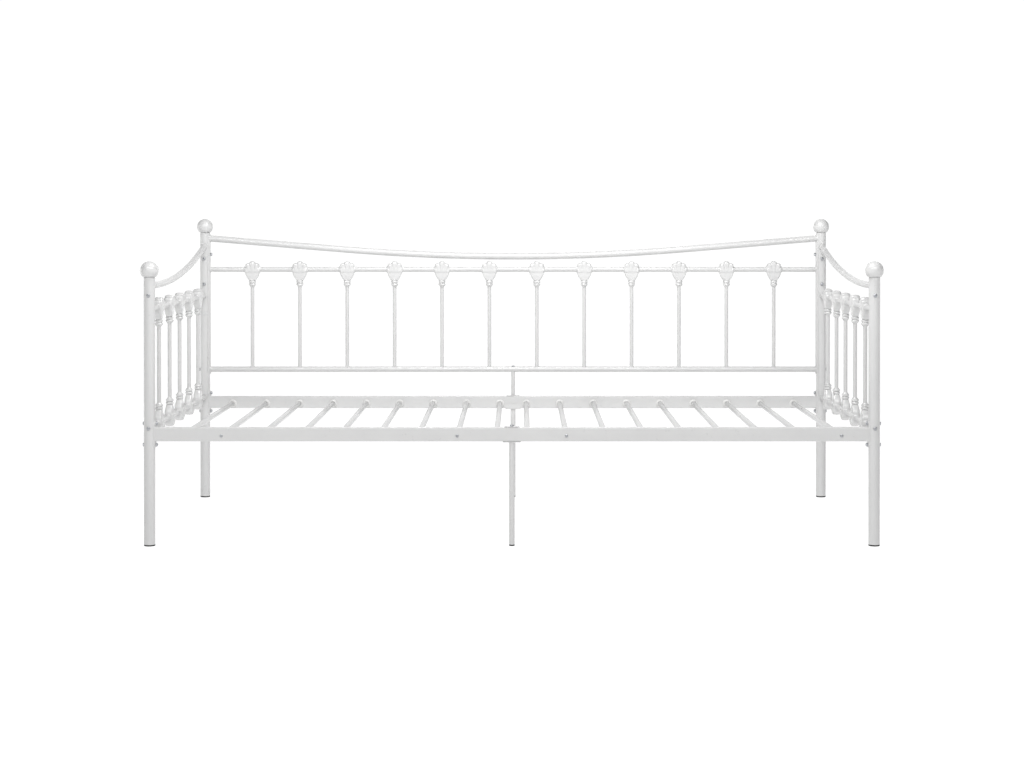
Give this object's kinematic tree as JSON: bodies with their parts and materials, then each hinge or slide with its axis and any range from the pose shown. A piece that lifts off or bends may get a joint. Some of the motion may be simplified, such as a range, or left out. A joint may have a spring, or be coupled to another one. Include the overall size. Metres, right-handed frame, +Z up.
{
  "type": "daybed",
  "caption": "White powder-coated metal daybed for a single mattress: ball-topped tube posts, curved back and arm rails, spindles with scallop shells, round slats on side rails, centre legs.",
  "frame": {"origin": "centre of the footprint on the floor", "axes": "+X to the right of someone facing the bed, +Y from the open front to the back panel, +Z up"},
  "size_m": [2.102, 0.982, 0.9248],
  "materials": {
    "powder_coat": "satin white powder coat on steel tube",
    "coated_casting": "glossier white powder coat on castings",
    "white_plastic": "moulded white plastic",
    "black_plastic": "moulded black plastic",
    "zinc_steel": "bright zinc plate"
  },
  "bodies": {
    "root": {"left_front_post": "powder_coat", "right_front_post": "powder_coat", "left_back_post": "powder_coat", "right_back_post": "powder_coat", "left_front_finial": "coated_casting", "right_front_finial": "coated_casting", "left_back_finial": "coated_casting", "right_back_finial": "coated_casting", "left_front_glide": "black_plastic", "right_front_glide": "black_plastic", "left_back_glide": "black_plastic", "right_back_glide": "black_plastic", "front_side_rail": "powder_coat", "back_side_rail": "powder_coat", "left_front_saddle": "powder_coat", "right_front_saddle": "powder_coat", "left_back_saddle": "powder_coat", "right_back_saddle": "powder_coat", "left_slats": "powder_coat", "right_slats": "powder_coat", "slat_sockets": "white_plastic", "slat_screws": "zinc_steel", "slat_inserts": "zinc_steel", "front_centre_leg": "powder_coat", "rear_centre_leg": "powder_coat", "front_leg_glide": "black_plastic", "rear_leg_glide": "black_plastic", "front_leg_bracket": "powder_coat", "rear_leg_bracket": "powder_coat", "front_rail_plate": "powder_coat", "rear_rail_plate": "powder_coat", "back_strut": "powder_coat", "centre_bolts": "zinc_steel", "centre_inserts": "zinc_steel", "back_top_rail": "powder_coat", "back_upper_rail": "powder_coat", "back_lower_rail": "powder_coat", "back_spindles": "powder_coat", "back_shells": "coated_casting", "left_back_strap": "powder_coat", "right_back_strap": "powder_coat", "left_arm_top_tube": "powder_coat", "left_arm_upper_rail": "powder_coat", "left_arm_lower_rail": "powder_coat", "left_arm_spindles": "powder_coat", "left_arm_upper_shells": "coated_casting", "left_arm_lower_shells": "coated_casting", "left_arm_front_strap": "powder_coat", "left_arm_back_strap": "powder_coat", "right_arm_top_tube": "powder_coat", "right_arm_upper_rail": "powder_coat", "right_arm_lower_rail": "powder_coat", "right_arm_spindles": "powder_coat", "right_arm_upper_shells": "coated_casting", "right_arm_lower_shells": "coated_casting", "right_arm_front_strap": "powder_coat", "right_arm_back_strap": "powder_coat", "frame_bolts": "zinc_steel", "cap_nuts": "zinc_steel", "rail_inserts": "zinc_steel"}
  },
  "joints": []
}
